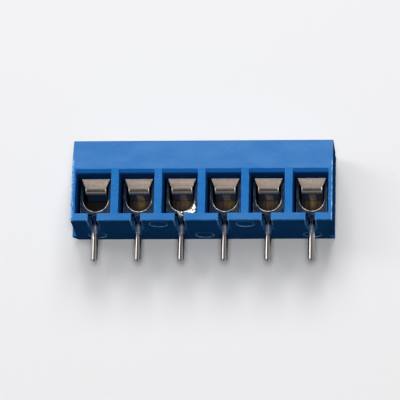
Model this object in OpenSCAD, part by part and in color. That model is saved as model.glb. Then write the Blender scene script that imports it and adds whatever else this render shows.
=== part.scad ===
// Six-pole screw terminal for a circuit board, with a wire guard at each pole.
// Frame: X runs along the row, the wire entries face -Y and the pins point down -Z.
// The origin lies on the board, at the middle of the row of pins.
// Depths are measured back from the housing's front face.

/* [Row] */
// Distance from one pole to the next
pitch = 5; // [5:0.04:5.08]

/* [Housing] */
// Depth from front face to rear face
housing_depth = 7.6; // [7.5:0.1:8.2]
// Height of the top face above the board
housing_height = 10; // [9.9:0.1:11]
// Height of the ridge where the front face starts to lean back
ridge_height = 6.3; // [6.2:0.05:6.6]
// How far the top edge is set back behind the front face
top_setback = 1.1; // [0.8:0.1:1.7]
// Small bevel on the moulding's outer edges
edge_bevel = 0.12; // [0.05:0.01:0.2]

/* [Wire entry] */
// Width of the funnel at the front face
entry_width = 4.15; // [3.9:0.05:4.3]
// Height of the sill below the entry
sill_height = 0.88; // [0.7:0.01:1]
// Height of the funnel's upper edge at the front face
entry_top = 6.25; // [6.1:0.01:6.28]
// Depth of the funnel
funnel_depth = 0.75; // [0.4:0.05:0.9]
// Width of the room behind the funnel
room_width = 3.86; // [3.8:0.02:3.9]
// Height of the room's ceiling
ceiling_height = 5.85; // [5.84:0.01:5.9]
// Depth of the room, back to the rear wall
room_depth = 6.6; // [6.6:0.01:6.7]

/* [Contact] */
// Thickness of the contact's sheet
sheet = 0.27; // [0.24:0.01:0.3]
// Outside width of the clamping cage
cage_width = 3.48; // [3.44:0.02:3.52]
// Depth at which the cage's front plate starts
cage_front = 2.85; // [2.8:0.01:2.9]
// Outside radius of the cage's folds
fold_radius = 0.45; // [0.4:0.01:0.5]
// Width of the neck that carries the pin
neck_width = 0.85; // [0.8:0.05:1]
// Diameter of the rolled solder pin
pin_diameter = 0.8; // [0.75:0.05:0.85]
// Length of the pin below the housing
pin_length = 3.85; // [3.2:0.05:4]

/* [Wire guard] */
// Thickness of the guard's strip
guard_sheet = 0.25; // [0.2:0.01:0.28]
// Width of the guard's apron along its top edge
apron_width = 3.24; // [3:0.04:3.4]
// Width of the guard's foot, under the screw
foot_width = 2.34; // [2.2:0.02:2.4]
// Height of the foot's underside with the clamp open
foot_height = 4.2; // [4.15:0.01:4.3]
// Length of the foot, back from the apron's face
foot_length = 3.35; // [3.1:0.05:3.5]

/* [Screw] */
// Nominal thread diameter
thread_diameter = 2.5; // [2.4:0.1:2.5]
// Diameter of the head
head_diameter = 3.8; // [3.6:0.05:3.9]
// Height of the head
head_height = 1.9; // [1.6:0.1:2]
// Length of the threaded shaft below the head
shaft_length = 3.15; // [3.1:0.05:3.4]
// Width of the driver slot
slot_width = 0.6; // [0.5:0.05:0.7]

/* [Clearances] */
// Gap round the screw head in its well
head_clearance = 0.15; // [0.1:0.01:0.2]
// Gap between the thread's crest and the tapped roof
thread_clearance = 0.03; // [0.02:0.01:0.08]
// Gap between the guard and what it slides past
guard_clearance = 0.05; // [0.03:0.01:0.06]
// Gap between the cage's roof and the room's ceiling
roof_clearance = 0.02; // [0.01:0.01:0.04]
// Gap between the two layers of the folded roof
layer_gap = 0.02; // [0.01:0.01:0.03]
// Gap round the pin in its slot through the floor
pin_clearance = 0.13; // [0.1:0.01:0.16]

/* [Hidden] */

$fn = 48;
poles = 6;
over = 0.5; // how far a cutting shape runs past the surface that it opens
row_length = poles * pitch;

// The pin's front touches the plane of the cage's front plate, and its axis is Y = 0.
pin_radius = pin_diameter / 2;
front_y = -(cage_front + pin_radius);
rear_y = front_y + housing_depth;
plate_y = front_y + cage_front;
room_back_y = front_y + room_depth;

// The cage: a trough of round section below, straight walls and a folded roof above.
cage_radius = cage_width / 2;
cage_inner = cage_radius - sheet;
shelf_height = 1.67;
trough_z = shelf_height + cage_radius;
shelf_y = pin_radius + 0.2;
cage_top = ceiling_height - roof_clearance;
upper_layer_z = cage_top - sheet;
lower_layer_z = upper_layer_z - layer_gap - sheet;
cage_back_y = room_back_y - fold_radius;
back_plate_top = 5;

// The flat neck curls forward into a many-sided roll between these heights, and is round from the board plane down.
neck_end_z = 1.45;
roll_start_z = 0.65;
roll_sides = 12;
seam_width = 0.1;
pin_bore = 0.1;
pin_point = 0.1;
pin_tip_radius = 0.33;
neck_rim = 0.12;
slice = 0.01; // thickness of the flat ends that a hull() joins

// The screw stands over the middle of the cage, with its tip on the guard's foot.
screw_depth = 4.7;
screw_y = front_y + screw_depth;
tip_z = foot_height + guard_sheet;
head_z = tip_z + shaft_length;
head_bevel = 0.25;
tip_bevel = 0.25;
slot_depth = 0.85;
cross_length = 2.3;
screw_turns = [64, 9, 117, 38, 83, 152]; // how each screw happens to stand, in degrees
well_radius = head_diameter / 2 + head_clearance;
well_bevel = 0.2;

// The guard: an apron in front of the cage, bent back under the screw.
apron_y = plate_y - guard_clearance - guard_sheet;
apron_top = ceiling_height - guard_clearance;
guard_bend = 0.55;
guard_taper_rise = 0.45; // from the foot's underside up to the start of the apron's taper
foot_corner = 0.3;

// The slot that each contact slides in by, and the bevel along its lower edges.
pin_slot_width = pin_diameter + 2 * pin_clearance;
slot_bevel = 0.14;

// Low ribs in each room press on the cage's sides.
rib_depth = 4.9;
rib_y = front_y + rib_depth;
rib_length = 0.7;
rib_thickness = room_width / 2 - cage_radius;

// Blocks key together end to end: a rib on the left end and a groove in the right one.
key_depth = 6.2;
key_reach = 0.5;
key_flat = 0.35;
key_length = 1.1;
groove_depth = 5.95;
groove_reach = 0.66;
groove_flat = 0.6;
groove_length = 1.45;

// Shallow round marks left by the ejectors on the underside, as [x, depth].
ejector_radius = 1.1;
ejector_step = 0.06;
ejectors = [
    [-pitch, 1.5], [pitch, 1.5],
    [-2.5 * pitch, 5.8], [0, 5.8], [2.5 * pitch, 5.8]
];

function pole_x(pole) = (pole - (poles + 1) / 2) * pitch;

// A flat shape drawn in X and Z, as thick as depth, with its front at y.
module upright(y, depth) {
    translate([0, y + depth, 0])
        rotate([90, 0, 0])
            linear_extrude(depth)
                children();
}

// A flat shape drawn in Y and Z, as wide as width and centred on X = 0.
module lengthwise(width) {
    rotate([90, 0, 90])
        linear_extrude(width, center = true)
            children();
}

// A quarter of a ring in the corner that the signs of x and y point to.
module fold(x_sign, y_sign, radius, thickness) {
    intersection() {
        difference() {
            circle(radius);
            circle(radius - thickness);
        }
        scale([x_sign, y_sign])
            square(radius + over);
    }
}

module housing_profile() {
    b = edge_bevel;
    lean = top_setback / (housing_height - ridge_height);
    top_y = front_y + top_setback;
    polygon([
        [front_y + b, 0],
        [rear_y - b, 0],
        [rear_y, b],
        [rear_y, housing_height - 2 * b],
        [rear_y - 2 * b, housing_height],
        [top_y + b, housing_height],
        [top_y - b * lean, housing_height - b],
        [front_y, ridge_height],
        [front_y, b]
    ]);
}

module housing_plan() {
    b = edge_bevel;
    x = row_length / 2;
    polygon([
        [-x + b, front_y],
        [x - b, front_y],
        [x, front_y + b],
        [x, rear_y - b],
        [x - b, rear_y],
        [-x + b, rear_y],
        [-x, rear_y - b],
        [-x, front_y + b]
    ]);
}

module end_key() {
    x = row_length / 2;
    y = front_y + key_depth;
    linear_extrude(housing_height - 2 * edge_bevel)
        polygon([
            [-x + over, y],
            [-x - key_reach, y],
            [-x - key_reach, y + key_flat],
            [-x, y + key_length],
            [-x + over, y + key_length]
        ]);
}

module end_groove() {
    x = row_length / 2;
    y = front_y + groove_depth;
    translate([0, 0, -over])
        linear_extrude(housing_height + 2 * over)
            polygon([
                [x + over, y],
                [x - groove_reach, y],
                [x - groove_reach, y + groove_flat],
                [x, y + groove_length],
                [x + over, y + groove_length]
            ]);
}

// The funnel and the room behind it, where the plan and the side view cross.
module wire_room() {
    half = room_width / 2;
    flare = (entry_width / 2 - half) / funnel_depth;
    rise = (entry_top - ceiling_height) / funnel_depth;
    throat_y = front_y + funnel_depth;
    intersection() {
        linear_extrude(housing_height)
            polygon([
                [-entry_width / 2 - flare * over, front_y - over],
                [entry_width / 2 + flare * over, front_y - over],
                [half, throat_y],
                [half, room_back_y],
                [-half, room_back_y],
                [-half, throat_y]
            ]);
        lengthwise(pitch)
            polygon([
                [front_y - over, sill_height],
                [shelf_y, sill_height],
                [shelf_y, shelf_height],
                [room_back_y, shelf_height],
                [room_back_y, ceiling_height],
                [throat_y, ceiling_height],
                [front_y - over, entry_top + rise * over]
            ]);
    }
}

module screw_well() {
    translate([0, screw_y, ceiling_height - over])
        cylinder(r = well_radius, h = housing_height - ceiling_height + 2 * over);
    translate([0, screw_y, housing_height - well_bevel])
        cylinder(r1 = well_radius, r2 = well_radius + well_bevel + over, h = well_bevel + over);
}

// Open at the front, round at the pin, with bevelled lower edges.
module pin_slot() {
    half = pin_slot_width / 2;
    translate([-half, front_y - over, -over])
        cube([pin_slot_width, -front_y + over, sill_height + 2 * over]);
    translate([0, 0, -over])
        cylinder(r = half, h = sill_height + 2 * over);
    upright(front_y - over, -front_y + over)
        polygon([[-half - slot_bevel, 0], [half + slot_bevel, 0], [half, slot_bevel], [-half, slot_bevel]]);
    cylinder(r1 = half + slot_bevel, r2 = half, h = slot_bevel);
}

module ejector_mark() {
    translate([0, 0, -over])
        cylinder(r = ejector_radius, h = over + ejector_step);
}

module grip_rib(side) {
    wall = room_width / 2;
    translate([0, 0, shelf_height - sheet])
        linear_extrude(ceiling_height - shelf_height + sheet)
            polygon([
                [side * (wall + sheet), rib_y - rib_thickness],
                [side * wall, rib_y - rib_thickness],
                [side * cage_radius, rib_y],
                [side * cage_radius, rib_y + rib_length],
                [side * (wall + sheet), rib_y + rib_length]
            ]);
}

module housing() {
    color([0.17, 0.45, 0.73]) {
        difference() {
            union() {
                intersection() {
                    lengthwise(row_length)
                        housing_profile();
                    linear_extrude(housing_height)
                        housing_plan();
                }
                end_key();
            }
            end_groove();
            for (pole = [1 : poles])
                translate([pole_x(pole), 0, 0]) {
                    wire_room();
                    screw_well();
                    pin_slot();
                }
            for (mark = ejectors)
                translate([mark[0], front_y + mark[1], 0])
                    ejector_mark();
        }
        for (pole = [1 : poles], side = [-1, 1])
            translate([pole_x(pole), 0, 0])
                grip_rib(side);
    }
}

// The cage's section: trough, walls, and a roof folded over in two layers.
module cage_section() {
    bend_x = cage_radius - fold_radius;
    left_bend_z = lower_layer_z + sheet - fold_radius;
    right_bend_z = cage_top - fold_radius;
    translate([0, trough_z])
        difference() {
            circle(cage_radius);
            circle(cage_inner);
            translate([-cage_radius - over, 0])
                square([cage_width + 2 * over, cage_width]);
        }
    translate([-cage_radius, trough_z])
        square([sheet, left_bend_z - trough_z]);
    translate([cage_inner, trough_z])
        square([sheet, right_bend_z - trough_z]);
    translate([-bend_x, left_bend_z])
        fold(-1, 1, fold_radius, sheet);
    translate([bend_x, right_bend_z])
        fold(1, 1, fold_radius, sheet);
    translate([-bend_x, lower_layer_z])
        square([2 * bend_x, sheet]);
    translate([-bend_x, upper_layer_z])
        square([2 * bend_x, sheet]);
}

// The plate at the trough's mouth, square below and hollowed to the trough's curve.
module front_plate() {
    upright(plate_y, sheet)
        difference() {
            translate([-cage_radius, shelf_height])
                square([cage_width, cage_radius]);
            translate([0, trough_z])
                circle(cage_inner);
        }
}

// The left wall's tail, folded across the back of the cage, with a round lower edge that closes the trough.
module back_plate() {
    bend_x = cage_radius - fold_radius;
    height = back_plate_top - trough_z;
    translate([-bend_x, cage_back_y, trough_z])
        linear_extrude(height)
            fold(-1, 1, fold_radius, sheet);
    upright(room_back_y - sheet, sheet) {
        translate([-bend_x, trough_z])
            square([bend_x + cage_inner, height]);
        intersection() {
            translate([0, trough_z])
                circle(cage_inner);
            translate([-cage_radius, shelf_height])
                square([cage_width, cage_radius]);
        }
    }
}

module roll(height) {
    rotate([0, 0, 180 / roll_sides])
        cylinder(r = pin_radius, h = height, $fn = roll_sides);
}

// The sheet below the neck is rolled into a pin, with its seam at the front.
module rolled_pin() {
    bottom = -pin_length;
    difference() {
        union() {
            translate([0, 0, bottom])
                cylinder(r1 = pin_tip_radius, r2 = pin_radius, h = pin_point);
            translate([0, 0, bottom + pin_point])
                cylinder(r = pin_radius, h = pin_length - pin_point);
            roll(roll_start_z);
        }
        translate([0, 0, bottom - over])
            cylinder(r = pin_bore, h = pin_length + over + sill_height);
        translate([-seam_width / 2, -pin_radius - over, bottom - over])
            cube([seam_width, pin_radius + over, pin_length + over + sill_height]);
    }
}

// The neck's edges curl forward on the way down, round a valley that closes to the pin's seam.
module neck() {
    valley_width = neck_width - 2 * neck_rim;
    upright(plate_y, sheet)
        translate([-neck_width / 2, neck_end_z])
            square([neck_width, shelf_height + sheet - neck_end_z]);
    difference() {
        hull() {
            translate([-neck_width / 2, plate_y, neck_end_z])
                cube([neck_width, sheet, slice]);
            translate([0, 0, roll_start_z])
                roll(slice);
        }
        hull() {
            translate([-valley_width / 2, plate_y - over, neck_end_z])
                cube([valley_width, over, 2 * slice]);
            translate([-seam_width / 2, plate_y - over, roll_start_z - slice])
                cube([seam_width, over + pin_radius, slice]);
        }
    }
}

module contact(pole) {
    color([0.78, 0.74, 0.64])
        translate([pole_x(pole), 0, 0]) {
            difference() {
                upright(plate_y, cage_back_y - plate_y)
                    cage_section();
                translate([0, screw_y, lower_layer_z - over])
                    cylinder(r = thread_diameter / 2 + thread_clearance, h = 2 * sheet + 2 * over);
            }
            front_plate();
            back_plate();
            neck();
            rolled_pin();
        }
}

// The guard's strip from the side: apron, bend and foot.
module guard_section() {
    translate([apron_y, foot_height + guard_bend])
        square([guard_sheet, apron_top - foot_height - guard_bend]);
    translate([apron_y + guard_bend, foot_height + guard_bend])
        fold(-1, -1, guard_bend, guard_sheet);
    translate([apron_y + guard_bend, foot_height])
        square([foot_length - guard_bend, guard_sheet]);
}

module wire_guard(pole) {
    half_top = apron_width / 2;
    half_foot = foot_width / 2;
    foot_end_y = apron_y + foot_length;
    bend_y = apron_y + guard_bend;
    taper_z = foot_height + guard_taper_rise;
    color([0.62, 0.59, 0.55])
        translate([pole_x(pole), 0, 0])
            intersection() {
                lengthwise(2 * apron_width)
                    guard_section();
                union() {
                    upright(apron_y - over, guard_bend + over)
                        polygon([
                            [-half_foot, foot_height - over],
                            [half_foot, foot_height - over],
                            [half_foot, taper_z],
                            [half_top, apron_top],
                            [-half_top, apron_top],
                            [-half_foot, taper_z]
                        ]);
                    translate([0, 0, foot_height - over])
                        linear_extrude(guard_sheet + 2 * over)
                            polygon([
                                [-half_foot, bend_y],
                                [half_foot, bend_y],
                                [half_foot, foot_end_y - foot_corner],
                                [half_foot - foot_corner, foot_end_y],
                                [-half_foot + foot_corner, foot_end_y],
                                [-half_foot, foot_end_y - foot_corner]
                            ]);
                }
            }
}

module clamp_screw(pole) {
    head_radius = head_diameter / 2;
    shaft_radius = thread_diameter / 2;
    head_top = head_z + head_height;
    color([0.72, 0.73, 0.74])
        translate([pole_x(pole), screw_y, 0])
            difference() {
                rotate_extrude()
                    polygon([
                        [0, tip_z],
                        [shaft_radius - tip_bevel, tip_z],
                        [shaft_radius, tip_z + tip_bevel],
                        [shaft_radius, head_z],
                        [head_radius, head_z],
                        [head_radius, head_top - head_bevel],
                        [head_radius - head_bevel, head_top],
                        [0, head_top]
                    ]);
                rotate([0, 0, screw_turns[pole - 1]])
                    translate([0, 0, head_top - slot_depth]) {
                        translate([-head_radius - over, -slot_width / 2, 0])
                            cube([head_diameter + 2 * over, slot_width, slot_depth + over]);
                        translate([-slot_width / 2, -cross_length / 2, 0])
                            cube([slot_width, cross_length, slot_depth + over]);
                    }
            }
}

housing();
for (pole = [1 : poles]) {
    contact(pole);
    wire_guard(pole);
    clamp_screw(pole);
}
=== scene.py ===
"""Finishes, threaded screws and studio for the six-pole screw terminal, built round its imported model."""

import math

import bpy
from mathutils import Matrix, Vector, noise

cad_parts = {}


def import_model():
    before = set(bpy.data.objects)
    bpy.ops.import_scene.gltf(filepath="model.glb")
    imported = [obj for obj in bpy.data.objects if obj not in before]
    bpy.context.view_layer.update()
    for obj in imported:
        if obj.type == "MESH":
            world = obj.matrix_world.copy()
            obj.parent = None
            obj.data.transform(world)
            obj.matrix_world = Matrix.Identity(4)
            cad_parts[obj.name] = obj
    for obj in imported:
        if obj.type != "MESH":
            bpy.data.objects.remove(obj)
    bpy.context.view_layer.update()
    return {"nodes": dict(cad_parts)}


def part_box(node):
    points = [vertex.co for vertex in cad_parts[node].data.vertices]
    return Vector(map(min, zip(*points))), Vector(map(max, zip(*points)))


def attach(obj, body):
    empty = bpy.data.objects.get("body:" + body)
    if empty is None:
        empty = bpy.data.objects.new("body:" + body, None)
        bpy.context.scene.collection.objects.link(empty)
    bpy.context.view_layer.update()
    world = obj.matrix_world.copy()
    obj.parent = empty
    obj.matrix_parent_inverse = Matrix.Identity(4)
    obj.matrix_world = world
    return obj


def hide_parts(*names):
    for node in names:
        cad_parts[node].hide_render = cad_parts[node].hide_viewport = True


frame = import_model()

MM = 0.001
POLES = range(1, 7)
X = (1, 0, 0)
Y = (0, 1, 0)
Z = (0, 0, 1)

# The camera, in degrees and millimetres. The housing lies on its rear face, with the entries to the camera.
VIEW_AZIMUTH = 5.271
VIEW_ELEVATION = -17.118
VIEW_ROLL = 1.296
VIEW_DISTANCE = 398.05
VIEW_TARGET = (-0.479, 0.5, 3.596)
LENS = 310.1

# Tones of the studio, as linear values, and the shares of them that light the part.
BACKDROP_TONE = (0.66, 0.67, 0.68)
FLOOR_TONE = (0.72, 0.72, 0.73)
AMBIENT = 0.05
BOUNCE = 0.1

# The housing, in millimetres in the part's frame. What its box gives is read from the frame.
HOUSING_LOW, HOUSING_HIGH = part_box("housing")
FRONT_Y = HOUSING_LOW.y / MM
REAR_Y = HOUSING_HIGH.y / MM
HOUSING_HEIGHT = HOUSING_HIGH.z / MM
PITCH = 5.0
HALF_ROW = 3 * PITCH
RIDGE_Z = 6.3
TOP_SETBACK = 1.1
EDGE_BEVEL = 0.12
SILL_Z = 0.88
ENTRY_HALF_WIDTH = 2.075
ENTRY_TOP_Z = 6.25
FUNNEL_END_Y = -2.5
ROOM_HALF_WIDTH = 1.93
ROOM_BACK_Y = 3.35
SHELF_Z = 1.67
CEILING_Z = 5.85
SLOT_HALF_WIDTH = 0.53
SLOT_BEVEL = 0.14
GROOVE_Y = 2.7
GROOVE_FLOOR_X = HALF_ROW - 0.66

# The contacts and wire guards, in millimetres in the part's frame. Above the height where the tin turns dull,
# its colour is also painted dark as shade in the cage.
PLATE_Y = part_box("contact_1")[0].y / MM
PLATE_FOOT_Z = 1.69
REAR_PLATE_Y = 2.95
CAGE_RADIUS = 1.74
TROUGH_Z = SHELF_Z + CAGE_RADIUS
TROUGH_RADIUS = 1.47
NECK_Z = 1.3
DULL_SHADED_Z = 0.05
BEND_TOP_Z = 4.66
FOOT_HALF_WIDTH = 1.17

# The screws, in millimetres, beside the sizes that the frame gives. The thread begins over TIP_RISE, runs out
# over THREAD_END and leaves a smooth UNDERCUT below the head. SCREW_TURNS are in degrees, pole by pole.
SCREW_SIDES = 48
SHAFT_RADIUS = 1.25
THREAD_PITCH = 0.45
THREAD_DEPTH = 0.24
ROWS_PER_TURN = 10
UNDERCUT = 0.3
THREAD_END = 0.2
TIP_RISE = 0.35
TIP_INSET = 0.08
HEAD_HEIGHT = 1.9
HEAD_CHAMFER = 0.06
HEAD_EDGE = 0.22
DRIVER_SLOT_WIDTH = 0.6
DRIVER_SLOT_DEPTH = 0.85
CROSS_LENGTH = 2.3
SCREW_TURNS = (64, 9, 117, 38, 83, 152)

# The ejector marks on the underside, in millimetres, with depths from the front face.
EJECTOR_RADIUS = 1.1
EJECTOR_STEP = 0.06
EJECTOR_LIP = 0.1
EJECTOR_FRONT_DEPTH = 1.5
EJECTOR_REAR_DEPTH = 5.8


def pole_x(pole):
    return (pole - 3.5) * PITCH


def srgb(red, green, blue):
    """A colour given in 0 to 255 steps, as linear RGBA."""
    steps = [value / 255 for value in (red, green, blue)]
    return [s / 12.92 if s <= 0.04045 else ((s + 0.055) / 1.055) ** 2.4 for s in steps] + [1.0]


# ---------------------------------------------------------------- node helpers


def add(tree, kind, inputs=None, **settings):
    """A new node with its settings made and its inputs linked or set."""
    node = tree.nodes.new(kind)
    for name, value in settings.items():
        setattr(node, name, value)
    for name, value in (inputs or {}).items():
        if isinstance(value, bpy.types.NodeSocket):
            tree.links.new(value, node.inputs[name])
        else:
            node.inputs[name].default_value = value
    return node


def maths(tree, operation, first, second=0.0):
    return add(tree, "ShaderNodeMath", {0: first, 1: second}, operation=operation).outputs[0]


def times(tree, *masks):
    """The product of masks or plain values."""
    product = masks[0]
    for mask in masks[1:]:
        product = maths(tree, "MULTIPLY", product, mask)
    return product


def either(tree, first, second):
    """The larger of two masks or values."""
    return maths(tree, "MAXIMUM", first, second)


def opposite(tree, mask):
    """1 where the mask is 0, and 0 where it is 1."""
    return maths(tree, "SUBTRACT", 1.0, mask)


def dot_product(tree, first, second):
    return add(tree, "ShaderNodeVectorMath", {0: first, 1: second}, operation="DOT_PRODUCT").outputs["Value"]


def smooth_step(tree, value, start, end):
    """0 where the value is at the start, 1 where it is at the end, and a soft change between them."""
    limits = {"Value": value, "From Min": start, "From Max": end}
    return add(tree, "ShaderNodeMapRange", limits, interpolation_type="SMOOTHSTEP").outputs["Result"]


def between(tree, mask, low, high):
    """A value that runs from low to high with the mask."""
    return add(tree, "ShaderNodeMapRange", {"Value": mask, "To Min": low, "To Max": high}).outputs["Result"]


def blend_colours(tree, mask, base, top):
    """Base where the mask is 0 and top where it is 1."""
    return add(tree, "ShaderNodeMix", {0: mask, 6: base, 7: top}, data_type="RGBA").outputs[2]


def layered(tree, colour, layers):
    """The colour with each layer's own colour laid over it, where that layer's mask says."""
    for mask, top in layers:
        colour = blend_colours(tree, mask, colour, top)
    return colour


def millimetres(tree):
    """The point on the piece, in millimetres in its own frame."""
    place = add(tree, "ShaderNodeTexCoord").outputs["Object"]
    scaled = add(tree, "ShaderNodeVectorMath", {0: place, "Scale": 1 / MM}, operation="SCALE")
    return scaled.outputs["Vector"]


# ---------------------------------------------------------------- shared node groups


def new_group(name, inputs, outputs):
    """An empty shader node group, with the sockets of its input and output nodes."""
    tree = bpy.data.node_groups.new(name, "ShaderNodeTree")
    for label, kind, value in inputs:
        socket = tree.interface.new_socket(label, in_out="INPUT", socket_type="NodeSocket" + kind)
        socket.default_value = value
    for label, kind in outputs:
        tree.interface.new_socket(label, in_out="OUTPUT", socket_type="NodeSocket" + kind)
    given = tree.nodes.new("NodeGroupInput").outputs
    result = tree.nodes.new("NodeGroupOutput").inputs
    return tree, given, result


def patches_group():
    """Soft noise patches: slow clouds, drawn streaks or fine grain, as the scale and stretch say."""
    tree, given, result = new_group(
        "Patches",
        [
            ("Per mm", "Float", 1.0),
            ("Stretch", "Vector", (1, 1, 1)),
            ("Low", "Float", 0.4),
            ("High", "Float", 0.6),
            ("Detail", "Float", 3.0),
        ],
        [("Mask", "Float")],
    )
    stretch = {0: millimetres(tree), 1: given["Stretch"]}
    place = add(tree, "ShaderNodeVectorMath", stretch, operation="MULTIPLY").outputs["Vector"]
    shape = {"Vector": place, "Scale": given["Per mm"], "Detail": given["Detail"], "Roughness": 0.55}
    clouds = add(tree, "ShaderNodeTexNoise", shape).outputs[0]
    tree.links.new(smooth_step(tree, clouds, given["Low"], given["High"]), result["Mask"])
    return tree


def ramp_group():
    """A mask that goes from 0 at Start to 1 at End, in millimetres along an axis."""
    tree, given, result = new_group(
        "Ramp",
        [("Axis", "Vector", Z), ("Start", "Float", 0.0), ("End", "Float", 1.0)],
        [("Mask", "Float")],
    )
    along = dot_product(tree, millimetres(tree), given["Axis"])
    tree.links.new(smooth_step(tree, along, given["Start"], given["End"]), result["Mask"])
    return tree


def pole_group():
    """How far the point lies from its pole's middle plane, in millimetres."""
    tree, given, result = new_group("Pole Offset", [("Pitch mm", "Float", PITCH)], [("Distance", "Float")])
    across = add(tree, "ShaderNodeSeparateXYZ", {0: millimetres(tree)}).outputs["X"]
    in_pitch = maths(tree, "FLOORED_MODULO", across, given["Pitch mm"])
    middle = times(tree, given["Pitch mm"], 0.5)
    away = maths(tree, "ABSOLUTE", maths(tree, "SUBTRACT", in_pitch, middle))
    tree.links.new(away, result["Distance"])
    return tree


def edge_group():
    """Rounded edges: the softened normal, and a mask that is 1 along the edges."""
    tree, given, result = new_group(
        "Soft Edges",
        [("Radius mm", "Float", 0.06), ("Low", "Float", 0.02), ("High", "Float", 0.2)],
        [("Normal", "Vector"), ("Mask", "Float")],
    )
    radius = times(tree, given["Radius mm"], MM)
    rounded = add(tree, "ShaderNodeBevel", {"Radius": radius}, samples=6).outputs["Normal"]
    flat = add(tree, "ShaderNodeNewGeometry").outputs["Normal"]
    turned = opposite(tree, dot_product(tree, rounded, flat))
    limits = {"Value": turned, "From Min": given["Low"], "From Max": given["High"]}
    mask = add(tree, "ShaderNodeMapRange", limits).outputs["Result"]
    tree.links.new(rounded, result["Normal"])
    tree.links.new(mask, result["Mask"])
    return tree


PATCHES = patches_group()
RAMP = ramp_group()
POLE_OFFSET = pole_group()
SOFT_EDGES = edge_group()


def place_group(tree, group, **values):
    """A group placed in a material; its inputs are named with underscores for spaces."""
    node = tree.nodes.new("ShaderNodeGroup")
    node.node_tree = group
    for name, value in values.items():
        socket = node.inputs[name.replace("_", " ")]
        if isinstance(value, bpy.types.NodeSocket):
            tree.links.new(value, socket)
        else:
            socket.default_value = value
    return node


def patches(tree, **values):
    return place_group(tree, PATCHES, **values).outputs["Mask"]


def ramp(tree, axis, start, end):
    """0 at the start and 1 at the end along an axis, in millimetres. The end may come before the start."""
    return place_group(tree, RAMP, Axis=axis, Start=start, End=end).outputs["Mask"]


def near_pole(tree, inner, outer):
    """1 within the inner distance of a pole's middle plane, 0 beyond the outer one."""
    away = place_group(tree, POLE_OFFSET).outputs["Distance"]
    return smooth_step(tree, away, outer, inner)


def new_finish(name, **sockets):
    """A material with one Principled shader, whose plain values are set on its own sockets."""
    material = bpy.data.materials.new(name)
    material.use_nodes = True
    tree = material.node_tree
    shader = tree.nodes["Principled BSDF"]
    for label, value in sockets.items():
        shader.inputs[label.replace("_", " ")].default_value = value
    return material, tree, shader


def connect(tree, shader, colour, roughness, relief, relief_depth, normal):
    """Colour, roughness and a fine relief, in millimetres, on top of the rounded normal."""
    tree.links.new(colour, shader.inputs["Base Color"])
    tree.links.new(roughness, shader.inputs["Roughness"])
    bump = add(tree, "ShaderNodeBump", {"Height": relief, "Distance": relief_depth * MM, "Normal": normal})
    tree.links.new(bump.outputs["Normal"], shader.inputs["Normal"])


# ---------------------------------------------------------------- the housing's plastic


def ridge_sheen(tree, flow):
    """Painted sheen on the face that leans back above the ridge and, thinner, on the front below the sill."""
    lean = math.atan2(TOP_SETBACK, HOUSING_HEIGHT - RIDGE_Z)
    outward = (0, -math.cos(lean), math.sin(lean))
    reach = RIDGE_Z * math.sin(lean) - FRONT_Y * math.cos(lean)
    leaning = ramp(tree, outward, reach - 0.11, reach - 0.04)
    upper = times(tree, ramp(tree, Z, RIDGE_Z - 0.05, RIDGE_Z + 0.1), leaning)
    lower = times(tree, ramp(tree, Z, SILL_Z + 0.12, SILL_Z - 0.08), ramp(tree, Y, FRONT_Y + 0.08, FRONT_Y))
    return times(tree, either(tree, upper, times(tree, lower, 0.45)), between(tree, flow, 0.7, 1.0))


def pin_slot_edges(tree):
    """The bevels along the pin slots, with a highlight painted on them, strongest towards the front."""
    mouth = SLOT_HALF_WIDTH + SLOT_BEVEL
    within_mouth = near_pole(tree, mouth - 0.01, mouth + 0.03)
    within_slot = near_pole(tree, SLOT_HALF_WIDTH - 0.03, SLOT_HALF_WIDTH)
    bevels = maths(tree, "SUBTRACT", within_mouth, within_slot)
    low_down = ramp(tree, Z, SLOT_BEVEL, SLOT_BEVEL - 0.02)
    return times(tree, bevels, low_down, ramp(tree, Y, -0.4, -1.6))


def front_corners(tree):
    """The two upright corners at the ends of the front face."""
    left = ramp(tree, X, 0.3 - HALF_ROW, 0.12 - HALF_ROW)
    right = ramp(tree, X, HALF_ROW - 0.16, HALF_ROW - 0.1)
    return times(tree, either(tree, left, right), ramp(tree, Y, FRONT_Y + 0.45, FRONT_Y + 0.25))


def room_walls(tree):
    """The inside of the six rooms, but not the end groove and the end rib, which lie as close to a pole."""
    near = near_pole(tree, ROOM_HALF_WIDTH + 0.02, ENTRY_HALF_WIDTH + 0.025)
    in_depth = ramp(tree, Y, REAR_Y - 0.15, REAR_Y - 0.25)
    above_sill = ramp(tree, Z, SILL_Z + 0.12, SILL_Z + 0.32)
    below_roof = ramp(tree, Z, CEILING_Z + 0.2, CEILING_Z + 0.05)
    at_groove_floor = ramp(tree, X, GROOVE_FLOOR_X - 0.04, GROOVE_FLOOR_X)
    in_groove = times(tree, at_groove_floor, ramp(tree, Y, GROOVE_Y - 0.2, GROOVE_Y - 0.1))
    on_rib = ramp(tree, X, -HALF_ROW - 0.02, -HALF_ROW - 0.06)
    at_ends = either(tree, in_groove, on_rib)
    return times(tree, near, in_depth, above_sill, below_roof, opposite(tree, at_ends))


def deep_wall_shade(tree, rooms):
    """Painted shade on the walls at the back of the rooms, and most of all on their sides."""
    back = ramp(tree, Y, -1.9, -0.5)
    sides = opposite(tree, near_pole(tree, ROOM_HALF_WIDTH - 0.07, ROOM_HALF_WIDTH - 0.02))
    return times(tree, rooms, back, between(tree, sides, 0.55, 0.9))


def funnel_roofs(tree):
    """The sloping upper faces of the entries, where light is painted."""
    near = near_pole(tree, ENTRY_HALF_WIDTH - 0.055, ENTRY_HALF_WIDTH - 0.015)
    in_depth = ramp(tree, Y, FUNNEL_END_Y + 0.1, FUNNEL_END_Y - 0.1)
    above_room = ramp(tree, Z, CEILING_Z + 0.05, CEILING_Z + 0.15)
    below_edge = ramp(tree, Z, ENTRY_TOP_Z + 0.05, ENTRY_TOP_Z + 0.01)
    return times(tree, near, in_depth, above_room, below_edge)


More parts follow.
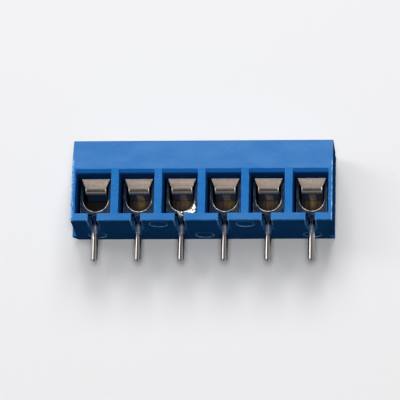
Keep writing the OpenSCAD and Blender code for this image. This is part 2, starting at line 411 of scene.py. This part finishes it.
def housing_plastic():
    """Blue moulded nylon: slow flow marks, fine grain and lint, with painted shade in the rooms and
    underneath, painted light on the entries' roofs, a painted sheen on the leaning face and painted
    highlights along edges, corners and slot bevels.
    """
    material, tree, shader = new_finish("housing_blue", Specular_IOR_Level=0.0)
    flow = patches(tree, Per_mm=0.3, Stretch=(1, 1, 2), Low=0.3, High=0.7, Detail=2.0)
    grain = patches(tree, Per_mm=7.0, Low=0.3, High=0.7)
    lint = patches(tree, Per_mm=4.5, Low=0.745, High=0.78, Detail=1.0)
    rough = patches(tree, Per_mm=2.2, Stretch=(1.5, 1, 1), Low=0.42, High=0.55)
    edges = place_group(tree, SOFT_EDGES, Radius_mm=0.07, Low=0.004, High=0.06)
    # Painted highlight along the edges, broken into patches.
    painted_highlight = times(tree, edges.outputs["Mask"], patches(tree, Per_mm=1.4, Low=0.4, High=0.62))
    rooms = room_walls(tree)
    underside = ramp(tree, Z, 2 * EJECTOR_STEP, EJECTOR_STEP)
    # Painted shade in the rooms and, less, on the underside.
    shade_in_rooms_and_below = either(tree, times(tree, rooms, 0.65), times(tree, underside, 0.3))
    colour = blend_colours(tree, flow, srgb(33, 101, 168), srgb(41, 108, 175))
    colour = layered(tree, colour, [
        (times(tree, grain, 0.15), srgb(48, 134, 202)),
        (shade_in_rooms_and_below, srgb(0, 48, 112)),
        # Painted shade, deepest at the back of the rooms.
        (deep_wall_shade(tree, rooms), srgb(0, 20, 52)),
        # Painted light on the entries' sloping roofs.
        (times(tree, funnel_roofs(tree), 0.65), srgb(44, 148, 255)),
        # Painted sheen on the leaning face and below the sill.
        (times(tree, ridge_sheen(tree, flow), 0.27), srgb(108, 140, 178)),
        (times(tree, painted_highlight, 0.6), srgb(128, 178, 228)),
        # Painted highlight along the upright corners of the front, broken by rough patches.
        (times(tree, front_corners(tree), rough, 0.8), srgb(134, 184, 234)),
        # Painted highlight on the bevels of the pin slots.
        (times(tree, pin_slot_edges(tree), between(tree, grain, 0.6, 1.0)), srgb(160, 205, 250)),
        (times(tree, lint, 0.4), srgb(150, 190, 230)),
    ])
    connect(tree, shader, colour, between(tree, grain, 0.5, 0.64), grain, 0.008, edges.outputs["Normal"])
    return material


def whitened_highlit_plastic():
    """The housing's plastic on the ejectors' lips and the flash: paler where drawn thin and whitened, and
    paler still with highlights painted along these thin edges.
    """
    material, tree, shader = new_finish("housing_blue_whitened_highlit", Specular_IOR_Level=0.1)
    broken = patches(tree, Per_mm=1.2, Low=0.35, High=0.65)
    edges = place_group(tree, SOFT_EDGES, Radius_mm=0.01)
    # Pale as thin plastic, with painted highlights along the thin edges.
    colour = blend_colours(tree, broken, srgb(70, 140, 210), srgb(160, 208, 252))
    connect(tree, shader, colour, between(tree, broken, 0.3, 0.45), broken, 0.004, edges.outputs["Normal"])
    return material


# ---------------------------------------------------------------- the contacts' tin


def trough_rim(tree):
    """The narrow lip round the mouth of each trough, where a highlight is painted."""
    offset = place_group(tree, POLE_OFFSET).outputs["Distance"]
    height = add(tree, "ShaderNodeSeparateXYZ", {0: millimetres(tree)}).outputs["Z"]
    down = maths(tree, "SUBTRACT", height, TROUGH_Z)
    squares = maths(tree, "ADD", times(tree, offset, offset), times(tree, down, down))
    outward = maths(tree, "SQRT", squares)
    off_rim = maths(tree, "ABSOLUTE", maths(tree, "SUBTRACT", outward, TROUGH_RADIUS))
    band = smooth_step(tree, off_rim, 0.055, 0.025)
    low_half = ramp(tree, Z, TROUGH_Z + 0.1, TROUGH_Z - 0.4)
    in_front = ramp(tree, Y, PLATE_Y + 0.15, PLATE_Y + 0.05)
    return times(tree, band, low_half, in_front)


def front_plate_sides(tree):
    """The sheared sides of the cage's front plate, where glints are painted."""
    sides = opposite(tree, near_pole(tree, CAGE_RADIUS - 0.04, CAGE_RADIUS - 0.02))
    return times(tree, sides, ramp(tree, Y, PLATE_Y + 0.15, PLATE_Y + 0.08))


def rear_plate_colour(tree, drawn):
    """Base metal at the cage's back: stains and a warm streak down the middle, painted as a reflection, with
    painted shade low down and at the sides, and near black at the first pole.
    """
    stains = patches(tree, Per_mm=1.1, Stretch=(2.2, 1, 0.4), Low=0.48, High=0.68)
    # A warm streak down each pole's middle, painted as a reflection, over the stains.
    streak = times(tree, near_pole(tree, 0.32, 0.5), between(tree, stains, 0.4, 1.0))
    stains_and_reflection = either(tree, streak, times(tree, stains, 0.3))
    # Painted shade low down and at the sides.
    low_down = ramp(tree, Z, 4.0, 2.9)
    shaded = either(tree, low_down, opposite(tree, near_pole(tree, 0.6, 1.15)))
    first_pole = ramp(tree, X, pole_x(2) - 2, pole_x(1) + 2)
    colour = blend_colours(tree, stains_and_reflection, srgb(60, 48, 44), srgb(126, 104, 62))
    return layered(tree, colour, [
        (times(tree, drawn, 0.35), srgb(58, 48, 42)),
        (times(tree, shaded, 0.85), srgb(18, 14, 15)),
        (times(tree, first_pole, 0.95), srgb(8, 8, 10)),
    ])


def contact_tin():
    """Tinned sheet: bright and drawn on the pins, dull in the cage, with painted light on the pins' tops,
    painted shade in the cage and painted glints on the rims and sheared edges.
    """
    material, tree, shader = new_finish("contact_tin", Specular_IOR_Level=0.15)
    edges = place_group(tree, SOFT_EDGES, Radius_mm=0.03, Low=0.03, High=0.2)
    drawn = patches(tree, Per_mm=1.0, Stretch=(9, 9, 0.7), Low=0.35, High=0.65)
    blotches = patches(tree, Per_mm=1.6, Low=0.42, High=0.62)
    caged = ramp(tree, Z, DULL_SHADED_Z, DULL_SHADED_Z + 0.5)
    rear = ramp(tree, Y, REAR_PLATE_Y - 0.3, REAR_PLATE_Y)
    pin_top = ramp(tree, Z, -1.6, -0.4)
    seam = times(tree, near_pole(tree, 0.07, 0.12), ramp(tree, Y, -0.1, -0.3))
    # Painted highlight round the trough rims.
    rim = times(tree, trough_rim(tree), between(tree, blotches, 0.25, 0.8))
    # Painted glints along the edges and the front plate's sides.
    sheared_edge_glints = either(tree, edges.outputs["Mask"], front_plate_sides(tree))
    sheared_edge_glints = times(tree, sheared_edge_glints, between(tree, blotches, 0.25, 0.75), opposite(tree, seam))
    # Painted shade in the cage, dark and bluish.
    shade_in_cage = blend_colours(tree, blotches, srgb(17, 31, 50), srgb(31, 38, 47))
    colour = blend_colours(tree, times(tree, drawn, 0.3), srgb(156, 154, 152), srgb(126, 122, 116))
    colour = layered(tree, colour, [
        # Painted light on the pins' tops.
        (times(tree, pin_top, 0.8), srgb(206, 212, 224)),
        (times(tree, seam, 0.9), srgb(58, 42, 30)),
        (caged, shade_in_cage),
        (rim, srgb(206, 198, 190)),
        (rear, rear_plate_colour(tree, drawn)),
        (sheared_edge_glints, srgb(112, 128, 146)),
    ])
    roughness = between(tree, times(tree, caged, between(tree, blotches, 0.5, 1.0)), 0.15, 0.42)
    roughness = either(tree, roughness, either(tree, times(tree, rear, 0.5), times(tree, pin_top, 0.3)))
    tree.links.new(between(tree, rear, 1.0, 0.3), shader.inputs["Metallic"])
    connect(tree, shader, colour, roughness, drawn, 0.0008, edges.outputs["Normal"])
    return material


def bright_tin():
    """Tin that froze bright and crumpled, with a few dark flecks."""
    material, tree, shader = new_finish("tin_bright", Metallic=1.0)
    edges = place_group(tree, SOFT_EDGES, Radius_mm=0.01)
    flecks = patches(tree, Per_mm=4.0, Low=0.52, High=0.64)
    colour = blend_colours(tree, flecks, srgb(196, 192, 188), srgb(70, 62, 56))
    connect(tree, shader, colour, between(tree, flecks, 0.22, 0.4), flecks, 0.004, edges.outputs["Normal"])
    return material


# ---------------------------------------------------------------- the guards' steel and the screws' zinc


def foot_reflections(tree, clouds):
    """The foot, painted with the housing's blue as a reflection, and with a bright painted reflection along
    its middle at every pole but the first.
    """
    # Painted reflection along the foot's middle.
    middle = times(tree, near_pole(tree, 0.34, 0.46), between(tree, clouds, 0.35, 1.0))
    behind_bend = ramp(tree, Y, 0.3, 0.9)
    past_first_pole = ramp(tree, X, pole_x(1) + 2, pole_x(2) - 2)
    painted_highlight = times(tree, middle, behind_bend, past_first_pole)
    return blend_colours(tree, painted_highlight, srgb(32, 90, 148), srgb(210, 204, 202))


def guard_steel():
    """Nickelled strip steel, satin and pitted on the apron, with painted shade low on the apron, a painted
    dark band broken by score marks across the bend, a painted highlight below it, painted glints on the
    sheared edges and painted reflections on the foot.
    """
    material, tree, shader = new_finish("guard_steel")
    edges = place_group(tree, SOFT_EDGES, Radius_mm=0.05, Low=0.03, High=0.2)
    speckle = patches(tree, Per_mm=5.0, Low=0.3, High=0.7)
    pits = patches(tree, Per_mm=5.5, Low=0.66, High=0.72, Detail=1.0)
    clouds = patches(tree, Per_mm=0.9, Stretch=(1, 1, 0.6), Low=0.35, High=0.65)
    scored = patches(tree, Per_mm=2.0, Stretch=(1, 1, 5), Low=0.3, High=0.6)
    foot = ramp(tree, Y, PLATE_Y + 0.35, PLATE_Y + 0.8)
    lower_apron = ramp(tree, Z, BEND_TOP_Z + 1.0, BEND_TOP_Z)
    at_bend = ramp(tree, Z, BEND_TOP_Z + 0.03, BEND_TOP_Z - 0.05)
    below_bend_highlight = ramp(tree, Z, BEND_TOP_Z - 0.3, BEND_TOP_Z - 0.38)
    under_bend = ramp(tree, Z, BEND_TOP_Z - 0.32, BEND_TOP_Z - 0.46)
    bend_shade_band = maths(tree, "SUBTRACT", at_bend, below_bend_highlight)
    sides = opposite(tree, near_pole(tree, FOOT_HALF_WIDTH - 0.1, FOOT_HALF_WIDTH - 0.05))
    bend_sides = times(tree, sides, at_bend, opposite(tree, foot))
    sheared_edge_glints = times(tree, edges.outputs["Mask"], between(tree, at_bend, 0.6, 1.0))
    colour = blend_colours(tree, clouds, srgb(208, 191, 178), srgb(220, 203, 190))
    colour = layered(tree, colour, [
        (times(tree, speckle, 0.45), srgb(168, 150, 137)),
        (times(tree, pits, 0.6), srgb(98, 84, 72)),
        # Painted shade, darker low on the apron.
        (times(tree, lower_apron, 0.85), srgb(124, 109, 98)),
        # Painted highlight below the bend.
        (below_bend_highlight, srgb(232, 224, 216)),
        # Painted shade in a dark band across the bend, broken by score marks.
        (times(tree, bend_shade_band, between(tree, scored, 0.75, 1.0)), srgb(78, 70, 62)),
        # Painted shade under the bend.
        (times(tree, under_bend, 0.25), srgb(104, 98, 94)),
        (foot, foot_reflections(tree, clouds)),
        # Painted glints on the sheared edges at the bend and on the bend's sides.
        (either(tree, sheared_edge_glints, bend_sides), srgb(246, 243, 238)),
    ])
    roughness = between(tree, foot, between(tree, speckle, 0.42, 0.56), 0.22)
    tree.links.new(between(tree, foot, 0.5, 0.4), shader.inputs["Metallic"])
    connect(tree, shader, colour, roughness, speckle, 0.006, edges.outputs["Normal"])
    return material


def screw_zinc():
    """Bright zinc on the screws, with dull patches and paler edges."""
    material, tree, shader = new_finish("screw_zinc", Metallic=1.0)
    edges = place_group(tree, SOFT_EDGES, Radius_mm=0.05, Low=0.03, High=0.25)
    haze = patches(tree, Per_mm=1.2, Low=0.38, High=0.62)
    grain = patches(tree, Per_mm=9.0, Low=0.3, High=0.7)
    colour = blend_colours(tree, haze, srgb(164, 167, 172), srgb(134, 138, 146))
    colour = blend_colours(tree, edges.outputs["Mask"], colour, srgb(214, 214, 212))
    connect(tree, shader, colour, between(tree, haze, 0.32, 0.48), grain, 0.004, edges.outputs["Normal"])
    return material


# ---------------------------------------------------------------- pieces


def from_grid(name, rings, bottom, top):
    """A closed mesh from rings of points, with a middle point at each end."""
    count = len(rings[0])
    points = [bottom] + [point for ring in rings for point in ring] + [top]
    last = 1 + (len(rings) - 1) * count
    faces = []
    for step in range(count):
        after = (step + 1) % count
        faces.append((0, 1 + after, 1 + step))
        faces.append((len(points) - 1, last + step, last + after))
        for row in range(len(rings) - 1):
            low = 1 + row * count
            high = low + count
            faces.append((low + step, low + after, high + after, high + step))
    mesh = bpy.data.meshes.new(name)
    mesh.from_pydata(points, [], faces)
    return mesh


def block(name, size, centre):
    """A plain block, to stand or to cut with."""
    x, y, z = (value / 2 for value in size)
    corners = [Vector((i, j, k)) + Vector(centre) for i in (-x, x) for j in (-y, y) for k in (-z, z)]
    faces = [(0, 1, 3, 2), (4, 6, 7, 5), (0, 4, 5, 1), (2, 3, 7, 6), (0, 2, 6, 4), (1, 5, 7, 3)]
    mesh = bpy.data.meshes.new(name)
    mesh.from_pydata(corners, [], faces)
    return mesh


def cut_away(mesh, cutters):
    """The mesh with each cutter taken from it."""
    holder = bpy.data.objects.new("being_cut", mesh)
    bpy.context.scene.collection.objects.link(holder)
    tools = []
    for cutter in cutters:
        tool = bpy.data.objects.new("cutter", cutter)
        bpy.context.scene.collection.objects.link(tool)
        cut = holder.modifiers.new("cut", "BOOLEAN")
        cut.object = tool
        cut.operation = "DIFFERENCE"
        cut.solver = "EXACT"
        tools.append(tool)
    graph = bpy.context.evaluated_depsgraph_get()
    result = bpy.data.meshes.new_from_object(holder.evaluated_get(graph))
    for spare in [holder] + tools:
        bpy.data.objects.remove(spare)
    return result


def smooth_but_creased(mesh, degrees):
    mesh.shade_smooth()
    mesh.set_sharp_from_angle(angle=math.radians(degrees))


def show(name, mesh, material, body, replaced=()):
    """A new piece in the scene, riding on a body."""
    mesh.name = name
    mesh.materials.clear()
    mesh.materials.append(material)
    piece = bpy.data.objects.new(name, mesh)
    bpy.context.scene.collection.objects.link(piece)
    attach(piece, body)
    if replaced:
        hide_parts(*replaced)


def finish_node(node, material):
    """A CAD node keeps its shape and takes a better material."""
    mesh = frame["nodes"][node].data
    mesh.materials.clear()
    mesh.materials.append(material)


# ---------------------------------------------------------------- threaded screws


def thread_depth(height, angle):
    """How deep the thread is cut at a height and an angle round the shaft."""
    crest_share = 0.18
    flank_share = 0.66
    phase = (height / THREAD_PITCH - angle / math.tau) % 1
    down_flank = (abs(phase - 0.5) * 2 - crest_share) / flank_share
    return THREAD_DEPTH * min(max(down_flank, 0), 1)


def screw_ring(height, radius, threaded=0.0):
    """Points round the screw's axis, with a share of the thread's depth cut in, from 0 to 1."""
    ring = []
    for step in range(SCREW_SIDES):
        angle = math.tau * step / SCREW_SIDES
        reach = radius - threaded * thread_depth(height, angle)
        ring.append((reach * math.cos(angle), reach * math.sin(angle), height))
    return ring


def shaft_rings(shaft):
    """The threaded shaft, from its narrowed tip to the undercut below the head."""
    root = SHAFT_RADIUS - THREAD_DEPTH
    threaded = shaft - UNDERCUT
    rings = [screw_ring(0.0, root - TIP_INSET)]
    rows = round(threaded / THREAD_PITCH * ROWS_PER_TURN)
    for row in range(1, rows + 1):
        height = threaded * row / rows
        begun = min(height / TIP_RISE, 1)
        to_come = min((threaded - height) / THREAD_END, 1)
        radius = SHAFT_RADIUS - (1 - begun) * (THREAD_DEPTH + TIP_INSET) - (1 - to_come) * THREAD_DEPTH
        rings.append(screw_ring(height, radius, min(begun, to_come)))
    rings.append(screw_ring(shaft - HEAD_CHAMFER, root))
    rings.append(screw_ring(shaft, root + HEAD_CHAMFER))
    return rings


def head_rings(shaft, length, radius):
    """The cheese head, chamfered below and rounded at its upper edge."""
    rings = [screw_ring(shaft, radius - HEAD_CHAMFER), screw_ring(shaft + HEAD_CHAMFER, radius)]
    steps = 6
    for step in range(steps + 1):
        turn = math.pi / 2 * step / steps
        rise = HEAD_EDGE * math.sin(turn) - HEAD_EDGE
        inset = HEAD_EDGE - HEAD_EDGE * math.cos(turn)
        rings.append(screw_ring(length + rise, radius - inset))
    rings.append(screw_ring(length, radius * 0.5))
    return rings


def screw_mesh(length, head_radius):
    """A slotted cheese-head screw standing on its tip at height 0, in millimetres."""
    shaft = length - HEAD_HEIGHT
    rings = shaft_rings(shaft) + head_rings(shaft, length, head_radius)
    mesh = from_grid("screw", rings, (0, 0, 0), (0, 0, length))
    over = 1.0
    across = 2 * head_radius + over
    cut_height = DRIVER_SLOT_DEPTH + over
    middle = (0, 0, length - DRIVER_SLOT_DEPTH + cut_height / 2)
    return cut_away(mesh, [
        block("slot", (across, DRIVER_SLOT_WIDTH, cut_height), middle),
        block("cross", (DRIVER_SLOT_WIDTH, CROSS_LENGTH, cut_height), middle),
    ])


def threaded_screws(material):
    """The screws with their threads, in place of the plain ones, each turned to an angle of its own."""
    low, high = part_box("clamp_screw_1")
    plain = screw_mesh((high.z - low.z) / MM, (high.x - low.x) / 2 / MM)
    for pole in POLES:
        node = f"clamp_screw_{pole}"
        low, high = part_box(node)
        middle = (low + high) / 2
        mesh = plain.copy()
        turned = Matrix.Rotation(math.radians(SCREW_TURNS[pole - 1]), 4, "Z")
        mesh.transform(Matrix.Translation((middle.x, middle.y, low.z)) @ Matrix.Scale(MM, 4) @ turned)
        smooth_but_creased(mesh, 40)
        show(f"threaded_screw_{pole}", mesh, material, f"screw_{pole}", [node])


# ---------------------------------------------------------------- marks of the moulding


def hoop(radius, half_width, height, around=56, across=8):
    """A low round-topped ring lying on height 0 and hanging down by its height, in millimetres."""
    points = []
    for step in range(around):
        turn = math.tau * step / around
        for part in range(across):
            tilt = math.tau * part / across
            out = radius + half_width * math.cos(tilt)
            points.append((out * math.cos(turn), out * math.sin(turn), height / 2 * (math.sin(tilt) - 1)))
    faces = []
    for a in range(around):
        here = a * across
        there = (a + 1) % around * across
        for b in range(across):
            beside = (b + 1) % across
            faces.append((here + b, there + b, there + beside, here + beside))
    mesh = bpy.data.meshes.new("hoop")
    mesh.from_pydata(points, [], faces)
    mesh.shade_smooth()
    return mesh


def ejector_rims(material):
    """The thin lips that the ejectors leave round their marks on the underside."""
    places = [(x, FRONT_Y + EJECTOR_FRONT_DEPTH) for x in (-PITCH, PITCH)]
    places += [(x, FRONT_Y + EJECTOR_REAR_DEPTH) for x in (-2.5 * PITCH, 0, 2.5 * PITCH)]
    for number, (x, y) in enumerate(places, 1):
        mesh = hoop(EJECTOR_RADIUS - EJECTOR_LIP / 2, EJECTOR_LIP / 2, EJECTOR_STEP)
        mesh.transform(Matrix.Scale(MM, 4) @ Matrix.Translation((x, y, EJECTOR_STEP)))
        show(f"ejector_rim_{number}", mesh, material, "block")


def flash(name, material, foot, out, top, reach, seed):
    """A broken fin of plastic at the mould's parting, from its foot up an upright edge of the front."""
    steps = 160
    fade = 6
    root = 0.03
    half_thickness = 0.025
    x, y, bottom = foot
    lean = TOP_SETBACK / (HOUSING_HEIGHT - RIDGE_Z)
    outward = Vector((*out, 0)).normalized()
    across = outward.cross(Vector(Z))
    rings = []
    for step in range(steps + 1):
        height = bottom + (top - bottom) * step / steps
        on_edge = Vector((x, y + lean * max(height - RIDGE_Z, 0), height))
        torn = 0.4 + 0.9 * noise.noise((seed, 0, 1.3 * height)) + 0.5 * noise.noise((seed, 3, 6 * height))
        tip = reach * min(max(torn, 0.05), 1) * min(step, steps - step, fade) / fade
        bend = 0.03 * noise.noise((seed, 7, 2.5 * height))
        rings.append([
            on_edge - outward * root - across * half_thickness,
            on_edge - outward * root + across * half_thickness,
            on_edge + outward * tip + across * bend,
        ])
    mesh = from_grid(name, rings, rings[0][0].lerp(rings[0][1], 0.5), rings[-1][0].lerp(rings[-1][1], 0.5))
    mesh.transform(Matrix.Scale(MM, 4))
    show(name, mesh, material, "block")


def moulding_flash(material):
    """Flash up both ends of the front, and beside the entry of the fifth pole."""
    half_bevel = EDGE_BEVEL / 2
    end = HALF_ROW - half_bevel
    front = FRONT_Y + half_bevel
    beside_entry = pole_x(5) + ENTRY_HALF_WIDTH + 0.02
    flash("flash_left", material, (-end, front, 0.2), (-1, -0.8), top=6.3, reach=0.14, seed=2)
    flash("flash_right", material, (end, front, 0.2), (1, -0.8), top=9.6, reach=0.09, seed=5)
    flash("flash_entry", material, (beside_entry, FRONT_Y, 3.2), (-0.2, -1), top=6.2, reach=0.06, seed=8)


def groove_wall(material):
    """The thin wall between the end groove and the sixth room, lapping past the slit that it closes."""
    low = Vector((pole_x(6) + CAGE_RADIUS + 0.03, GROOVE_Y - 0.08, SHELF_Z - 0.06))
    high = Vector((GROOVE_FLOOR_X + 0.005, ROOM_BACK_Y + 0.05, CEILING_Z + 0.06))
    mesh = block("groove_wall", high - low, (low + high) / 2)
    mesh.transform(Matrix.Scale(MM, 4))
    show("groove_wall", mesh, material, "block")


# ---------------------------------------------------------------- the third contact's tin flake


def flake_reach(angle, column):
    """How far the flake goes from the trough's middle: raggedly to the plate's edges, or down the neck."""
    neck_half_width = 0.55
    side = math.cos(angle)
    down = -math.sin(angle)
    in_neck = down > 0.5 and abs(TROUGH_Z / down * side) < neck_half_width
    floor_z = NECK_Z if in_neck else PLATE_FOOT_Z
    reach = min((TROUGH_Z - floor_z) / max(down, 0.01), CAGE_RADIUS / max(abs(side), 0.01))
    return reach - 0.1 * abs(noise.noise((column * 0.6, 2, 0)))


def flake_points(columns, rows):
    """The flake's crumpled front and its flat back, in millimetres, column by column."""
    first = math.radians(-110)
    last = math.radians(-8)
    inner = TROUGH_RADIUS + 0.04
    noise.seed_set(3)
    front = []
    back = []
    for column in range(columns + 1):
        angle = first + (last - first) * column / columns
        outer = max(flake_reach(angle, column), inner + 0.1)
        for row in range(rows + 1):
            away = inner + (outer - inner) * row / rows
            x = pole_x(3) + away * math.cos(angle)
            z = TROUGH_Z + away * math.sin(angle)
            edge = min(row, rows - row, column, columns - column, 1)
            crumple = 0.04 + 0.16 * abs(noise.noise((x * 3.1, 0, z * 3.1))) + 0.05 * noise.random()
            front.append((x, PLATE_Y - edge * crumple, z))
            back.append((x, PLATE_Y + 0.01, z))
    return front, back


def tin_flake(material):
    """Tin that froze in a crumpled flake on the third pole, round the trough's mouth and on the neck."""
    columns = 30
    rows = 7
    wide = rows + 1
    front, back = flake_points(columns, rows)
    count = len(front)
    faces = []
    for column in range(columns):
        for row in range(rows):
            a = column * wide + row
            quad = (a, a + wide, a + wide + 1, a + 1)
            faces.append(quad)
            faces.append(tuple(count + index for index in reversed(quad)))
    rim = [column * wide for column in range(columns + 1)]
    rim += [columns * wide + row for row in range(1, wide)]
    rim += [column * wide + rows for column in range(columns - 1, -1, -1)]
    rim += [row for row in range(rows - 1, 0, -1)]
    for a, b in zip(rim, rim[1:] + rim[:1]):
        faces.append((a, count + a, count + b, b))
    mesh = bpy.data.meshes.new("tin_flake")
    mesh.from_pydata(front + back, [], faces)
    mesh.transform(Matrix.Scale(MM, 4))
    show("tin_flake_3", mesh, material, "block")


# ---------------------------------------------------------------- studio


def camera():
    """The camera, aimed at the target from its azimuth, elevation and distance, and rolled a little."""
    azimuth, elevation, roll = (math.radians(a) for a in (VIEW_AZIMUTH, VIEW_ELEVATION, VIEW_ROLL))
    ahead = Vector((
        -math.sin(azimuth) * math.cos(elevation),
        math.cos(azimuth) * math.cos(elevation),
        -math.sin(elevation),
    ))
    level = ahead.cross(Vector(Z)).normalized()
    upright = level.cross(ahead)
    right = level * math.cos(roll) + upright * math.sin(roll)
    up = upright * math.cos(roll) - level * math.sin(roll)
    data = bpy.data.cameras.new("camera")
    data.lens = LENS
    data.sensor_width = 36
    data.clip_start = 0.01
    data.clip_end = 20
    holder = bpy.data.objects.new("camera", data)
    bpy.context.scene.collection.objects.link(holder)
    turn = Matrix((right, up, -ahead)).transposed().to_4x4()
    place = (Vector(VIEW_TARGET) - ahead * VIEW_DISTANCE) * MM
    holder.matrix_world = Matrix.Translation(place) @ turn
    bpy.context.scene.camera = holder


def seen_or_mirrored(tree):
    """1 for rays from the camera and for those that come by a reflection or through glass."""
    path = add(tree, "ShaderNodeLightPath").outputs
    mirrored = either(tree, path["Is Glossy Ray"], path["Is Transmission Ray"])
    return either(tree, path["Is Camera Ray"], mirrored)


def mix_shaders(tree, mask, first, second):
    """The first shader where the mask is 0 and the second where it is 1."""
    return add(tree, "ShaderNodeMixShader", {0: mask, 1: first, 2: second}).outputs[0]


def world():
    """Pale to the camera and in reflections, and a weak even light on the object."""
    studio = bpy.data.worlds.new("studio")
    studio.use_nodes = True
    tree = studio.node_tree
    tree.nodes.clear()
    tone = (*BACKDROP_TONE, 1)
    pale = add(tree, "ShaderNodeBackground", {"Color": tone, "Strength": 1.0}).outputs[0]
    weak = add(tree, "ShaderNodeBackground", {"Color": tone, "Strength": AMBIENT}).outputs[0]
    add(tree, "ShaderNodeOutputWorld", {"Surface": mix_shaders(tree, seen_or_mirrored(tree), weak, pale)})
    bpy.context.scene.world = studio


def floor_pale():
    """Pale where it is seen, dim in the light that it gives back, and clear from behind and to the lamps."""
    tone = (*FLOOR_TONE, 1)
    dim_tone = (*[part * BOUNCE for part in FLOOR_TONE], 1)
    material, tree, shader = new_finish("floor_pale", Base_Color=tone, Roughness=0.9, Specular_IOR_Level=0.1)
    dim = add(tree, "ShaderNodeBsdfDiffuse", {"Color": dim_tone}).outputs[0]
    clear = add(tree, "ShaderNodeBsdfTransparent").outputs[0]
    behind = add(tree, "ShaderNodeNewGeometry").outputs["Backfacing"]
    shadow = add(tree, "ShaderNodeLightPath").outputs["Is Shadow Ray"]
    lit = mix_shaders(tree, seen_or_mirrored(tree), dim, shader.outputs[0])
    mixed = mix_shaders(tree, either(tree, behind, shadow), lit, clear)
    tree.links.new(mixed, tree.nodes["Material Output"].inputs["Surface"])
    return material


def floor():
    """The pale floor under the housing's rear face."""
    half = 1.5
    level = HOUSING_HIGH.y + 0.01 * MM
    corners = [(-half, level, -half), (half, level, -half), (half, level, half), (-half, level, half)]
    mesh = bpy.data.meshes.new("floor")
    mesh.from_pydata(corners, [], [(0, 1, 2, 3)])
    mesh.materials.append(floor_pale())
    piece = bpy.data.objects.new("floor", mesh)
    bpy.context.scene.collection.objects.link(piece)


def lamp(name, place, width, height, watts):
    """A soft oblong lamp, aimed at the middle of the part. Lengths are in metres."""
    data = bpy.data.lights.new(name, "AREA")
    data.shape = "RECTANGLE"
    data.size = width
    data.size_y = height
    data.energy = watts
    holder = bpy.data.objects.new(name, data)
    bpy.context.scene.collection.objects.link(holder)
    aim = Vector(VIEW_TARGET) * MM
    holder.location = place
    holder.rotation_euler = (aim - Vector(place)).to_track_quat("-Z", "Y").to_euler()


camera()
world()
floor()
lamp("key", (0.02, -0.45, 0.4), width=0.34, height=0.34, watts=2.75)
lamp("left", (-0.37, -0.5, 0.17), width=0.56, height=0.2, watts=1.4)
lamp("low", (0.05, -0.61, -0.13), width=0.13, height=0.13, watts=1.7)
lamp("rear", (-0.2, 0.5, 0.3), width=0.4, height=0.4, watts=2.2)

blue = housing_plastic()
pale_blue = whitened_highlit_plastic()
tin = contact_tin()
steel = guard_steel()

finish_node("housing", blue)
for pole in POLES:
    finish_node(f"contact_{pole}", tin)
    finish_node(f"wire_guard_{pole}", steel)
threaded_screws(screw_zinc())
ejector_rims(pale_blue)
moulding_flash(pale_blue)
groove_wall(blue)
tin_flake(bright_tin())

bpy.context.scene.view_settings.view_transform = "Standard"
